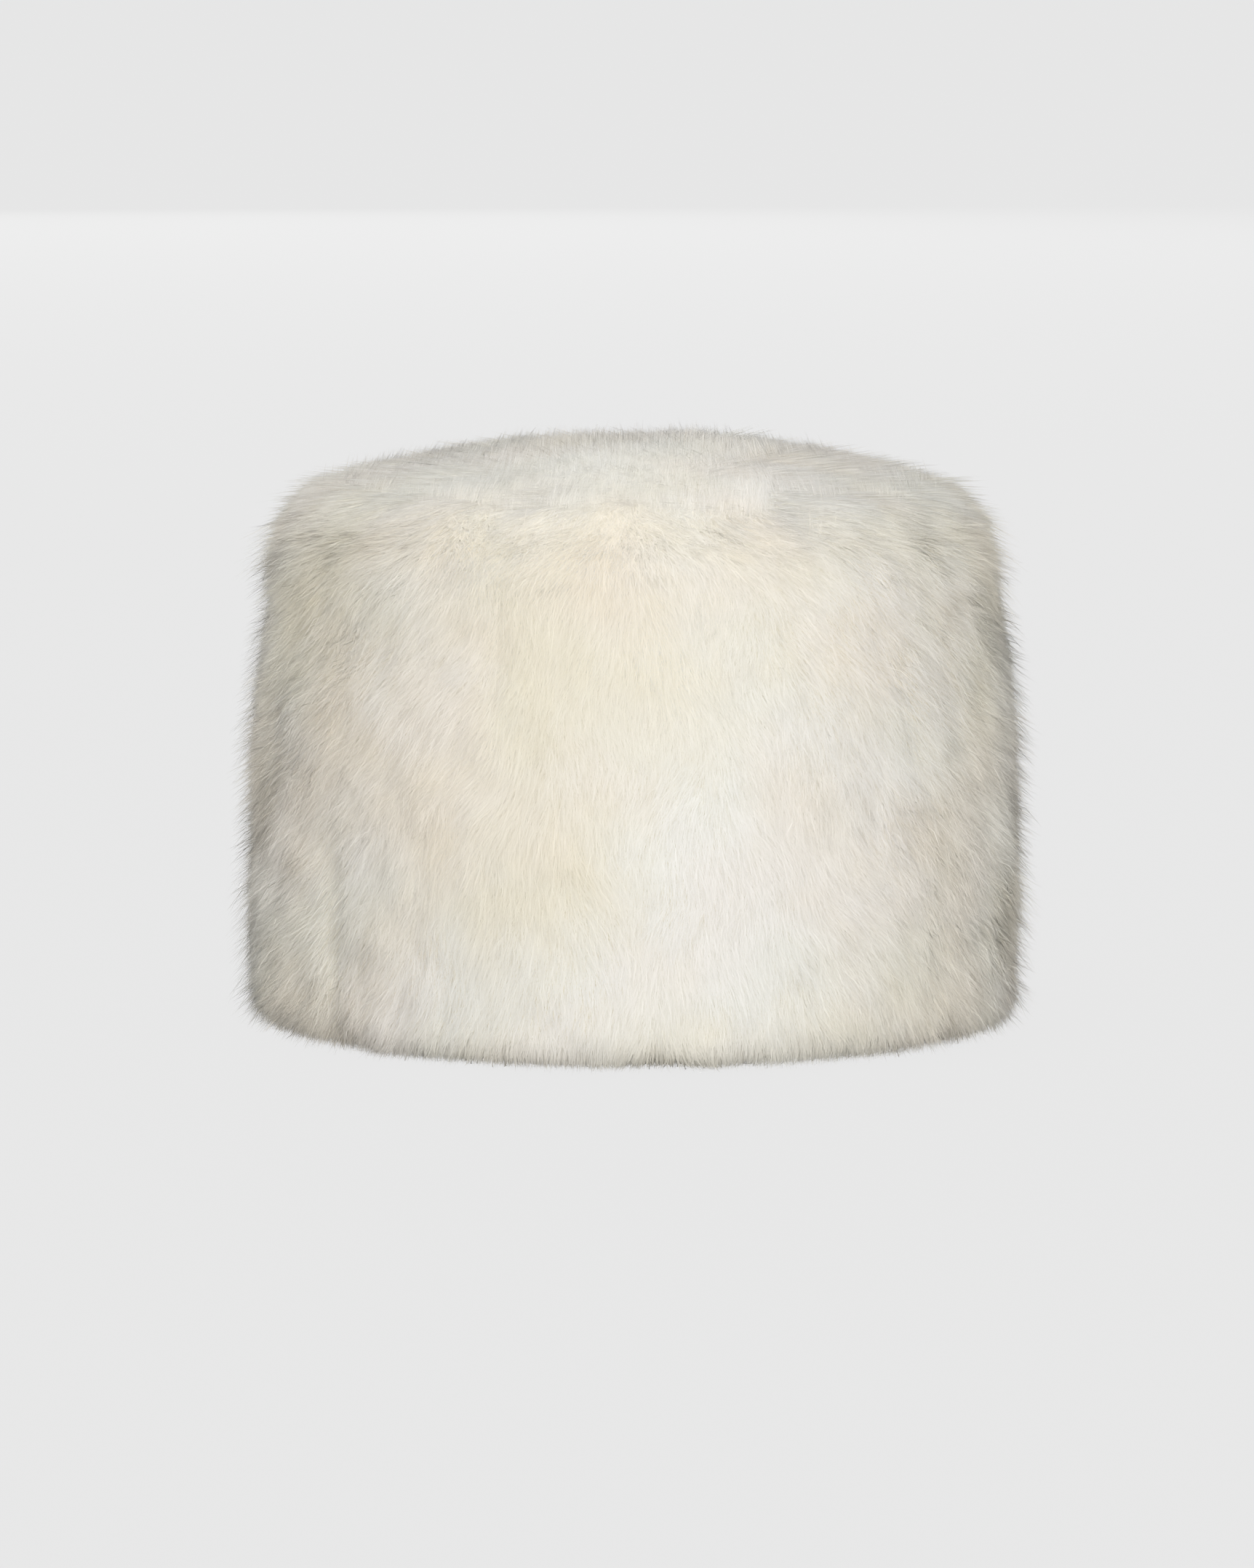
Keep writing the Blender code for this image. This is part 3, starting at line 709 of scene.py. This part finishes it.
# piece, triangles, bearings, distances, seed
WOOL = (
    ("wool_front", PIECE_TRIANGLES, (225, 315), (SEAM_AT + SEAM_GAP, END_AT), 1),
    ("wool_right", PIECE_TRIANGLES, (315, 405), (SEAM_AT + SEAM_GAP, END_AT), 2),
    ("wool_back", PIECE_TRIANGLES, (45, 135), (SEAM_AT + SEAM_GAP, END_AT), 3),
    ("wool_left", PIECE_TRIANGLES, (135, 225), (SEAM_AT + SEAM_GAP, END_AT), 4),
    ("wool_crown", TIP_TRIANGLES, (0, 360), (0.0, SEAM_AT - SEAM_GAP), 5),
)
for name, triangles, bearings, distances, seed in WOOL:
    piece = strands(name, triangles, bearings, distances, seed)
    piece.data.materials.append(wool_strands)
    piece.visible_shadow = False
    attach(piece, "root")


# The seams inside, where the skins are sewn together

def seam_lines():
    """The crown seam and the band's closing seam on the bare side: points, directions into the hollow, and whether
    the line is closed."""
    steps = 240
    bearing = np.linspace(0, 2 * math.pi, steps + 1)[:-1]
    depth = SHOULDER_RADIUS - SKIN
    radius = AXIS_R + depth * math.cos(SHOULDER_TURN)
    crown = on_oval(np.full(steps, radius), AXIS_Z + depth * math.sin(SHOULDER_TURN), bearing)
    middle = np.array([0, 0, AXIS_Z - 0.03])
    inner = skin_outline(-SKIN)[1:]
    at = np.full(len(inner), CLOSING_BEARING)
    closing = on_oval(inner[:, 0], inner[:, 1], at)
    axis = closing * np.array([0, 0, 1.0])
    axis[:, 2] = np.minimum(axis[:, 2], AXIS_Z)
    return (crown, unit(middle - crown), True), (closing, unit(axis - closing), False)


def along_line(points, ways, closed, spacing):
    """The line and its directions at even spacing, with the direction along it."""
    if closed:
        points, ways = np.vstack([points, points[:1]]), np.vstack([ways, ways[:1]])
    far = np.concatenate([[0], np.cumsum(np.linalg.norm(np.diff(points, axis=0), axis=1))])
    at = np.linspace(0, far[-1], int(far[-1] / spacing) + 1)
    at = at[:-1] if closed else at
    spot = np.stack([np.interp(at, far, points[:, i]) for i in range(3)], -1)
    way = unit(np.stack([np.interp(at, far, ways[:, i]) for i in range(3)], -1))
    ahead = unit(np.roll(spot, -1, 0) - np.roll(spot, 1, 0) if closed else np.gradient(spot, axis=0))
    way = unit(way - ahead * np.sum(way * ahead, -1, keepdims=True))
    return spot, way, ahead


def tubes(name, paths, across, radius, sides=6, flat=1.0):
    """One mesh of round tubes with closed ends along several paths of points, each with its directions across."""
    verts, faces = [], []
    for path, aside in zip(paths, across):
        ahead = unit(np.gradient(path, axis=0))
        u = unit(aside - ahead * np.sum(aside * ahead, -1, keepdims=True))
        v = np.cross(ahead, u)
        turn = np.linspace(0, 2 * math.pi, sides, endpoint=False)
        size = radius * np.clip(np.minimum(np.arange(len(path)), np.arange(len(path))[::-1]) * 0.5 + 0.6, 0, 1)
        rings = path[:, None] + size[:, None, None] * (
            u[:, None] * np.cos(turn)[None, :, None] + flat * v[:, None] * np.sin(turn)[None, :, None]
        )
        first = sum(len(v) for v in verts)
        index = first + np.arange(len(path) * sides).reshape(len(path), sides)
        quads = np.stack([index[:-1], np.roll(index[:-1], -1, 1), np.roll(index[1:], -1, 1), index[1:]], -1)
        verts.append(rings.reshape(-1, 3))
        faces += quads.reshape(-1, 4).tolist() + [index[0][::-1].tolist(), index[-1].tolist()]
    mesh = bpy.data.meshes.new(name)
    mesh.from_pydata(np.vstack(verts).tolist(), [], faces)
    mesh.validate()
    mesh.shade_smooth()
    return placed(name, mesh)


def sewn_seam(name, line, ridge_finish, thread_finish):
    """A seam's raised edge and the whip stitches over it."""
    points, ways, closed = line
    spot, way, ahead = along_line(points, ways, closed, EDGE_SPACING)
    across = np.cross(ahead, way)
    path = spot + way * (0.0001 + EDGE_WOBBLE * noise_at(spot, 0.006, 5.0)[:, None])
    if closed:
        path, across = np.vstack([path, path[:2]]), np.vstack([across, across[:2]])
    ridge = tubes(name + "_edge", [path], [across], SEAM_EDGE, sides=10, flat=0.8)
    ridge.data.materials.append(ridge_finish)
    spot, way, ahead = along_line(points, ways, closed, STITCH_PITCH)
    across = np.cross(ahead, way)
    rng = np.random.default_rng(len(spot))
    turn = np.radians(np.linspace(-STITCH_TURN, STITCH_TURN, STITCH_POINTS))
    paths = []
    for p, w, a, c in zip(spot, way, ahead, across):
        slant, reach = (least + more * rng.random() for least, more in (STITCH_SLANT, STITCH_REACH))
        paths.append(
            p + c * (reach * np.sin(turn))[:, None] + a * (slant * np.sin(turn))[:, None]
            + w * ((SEAM_EDGE + STITCH_OVER) * np.cos(turn) - STITCH_SINK)[:, None]
        )
    aheads = [np.repeat(a[None], STITCH_POINTS, 0) for a in ahead]
    thread = tubes(name + "_stitches", paths, aheads, THREAD_RADIUS)
    thread.data.materials.append(thread_finish)
    for piece in (ridge, thread):
        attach(piece, "root")


crown_line, closing_line = seam_lines()
thread = thread_material()
sewn_seam("crown_seam", crown_line, suede, thread)
sewn_seam("closing_seam", closing_line, suede, thread)


# Studio

def floor_and_world():
    """A plain pale floor, and a backdrop of the same grey that gives a soft light."""
    floor = bpy.data.meshes.new("floor")
    floor.from_pydata([(-30, -30, 0), (30, -30, 0), (30, 30, 0), (-30, 30, 0)], [], [(0, 1, 2, 3)])
    placed("floor", floor)
    made = bpy.data.materials.new("floor")
    made.use_nodes = True
    tree = made.node_tree
    tree.nodes.clear()
    output = tree.nodes.new("ShaderNodeOutputMaterial")
    glow = node(tree, "ShaderNodeEmission", Color=(0.815, 0.815, 0.815, 1), Strength=1.0)
    matt = node(tree, "ShaderNodeBsdfDiffuse", Color=(0.55, 0.55, 0.55, 1))
    share = tree.nodes.new("ShaderNodeMixShader")
    ray = tree.nodes.new("ShaderNodeLightPath")
    scale = tree.nodes.new("ShaderNodeMath")
    scale.operation = "MULTIPLY"
    scale.inputs[1].default_value = 0.965
    tree.links.new(ray.outputs["Is Camera Ray"], scale.inputs[0])
    tree.links.new(scale.outputs[0], share.inputs[0])
    tree.links.new(matt.outputs[0], share.inputs[1])
    tree.links.new(glow.outputs[0], share.inputs[2])
    tree.links.new(share.outputs[0], output.inputs["Surface"])
    floor.materials.append(made)

    world = bpy.data.worlds.new("studio")
    bpy.context.scene.world = world
    world.use_nodes = True
    tree = world.node_tree
    tree.nodes.clear()
    output = tree.nodes.new("ShaderNodeOutputWorld")
    seen = node(tree, "ShaderNodeBackground", Color=(0.791, 0.791, 0.791, 1), Strength=1.0)
    light = node(tree, "ShaderNodeBackground", Color=(0.97, 0.98, 1.0, 1), Strength=0.30)
    share = tree.nodes.new("ShaderNodeMixShader")
    ray = tree.nodes.new("ShaderNodeLightPath")
    tree.links.new(ray.outputs["Is Camera Ray"], share.inputs[0])
    tree.links.new(light.outputs[0], share.inputs[1])
    tree.links.new(seen.outputs[0], share.inputs[2])
    tree.links.new(share.outputs[0], output.inputs["Surface"])


HAT_MIDDLE = (0, 0, 0.085)


def spot(azimuth, elevation, distance, centre=HAT_MIDDLE):
    """A point seen from the centre at an azimuth, from the front towards +X, and an elevation."""
    a, e = math.radians(azimuth), math.radians(elevation)
    return Vector(centre) + distance * Vector((math.sin(a) * math.cos(e), -math.cos(a) * math.cos(e), math.sin(e)))


def aim(thing, target):
    thing.rotation_euler = (Vector(target) - thing.location).to_track_quat("-Z", "Y").to_euler()


def softbox(name, azimuth, elevation, distance, size, watts, colour=(1, 1, 1)):
    data = bpy.data.lights.new(name, "AREA")
    data.shape, data.size, data.energy, data.color = "DISK", size, watts, colour
    light = bpy.data.objects.new(name, data)
    light.location = spot(azimuth, elevation, distance)
    aim(light, HAT_MIDDLE)
    bpy.context.scene.collection.objects.link(light)


floor_and_world()
softbox("key", 6, 5, 4.6, 2.4, 171, (1.0, 0.99, 0.975))
softbox("top", -25, 78, 3.0, 2.2, 27)
softbox("left", -58, 50, 4.6, 1.8, 15)
softbox("right", 62, 20, 4.6, 1.8, 11)
softbox("back", 184, 16, 4.6, 2.6, 105)
softbox("back_left", -122, 24, 4.6, 2.2, 19)
softbox("back_right", 122, 24, 4.6, 2.2, 19)

CAMERA_DISTANCE, CAMERA_ELEVATION = 3.0, 6.0
LENS_PIXELS = 14220
camera_data = bpy.data.cameras.new("camera")
camera_data.sensor_width = 36.0
camera_data.sensor_fit = "AUTO"
camera_data.lens = LENS_PIXELS * 36.0 / 2156
camera = bpy.data.objects.new("camera", camera_data)
target = Vector((-0.0021, 0.0, 0.0694))
camera.location = spot(0, CAMERA_ELEVATION, CAMERA_DISTANCE, target)
aim(camera, target)
bpy.context.scene.collection.objects.link(camera)
bpy.context.scene.camera = camera
bpy.context.scene.view_settings.view_transform = "Standard"
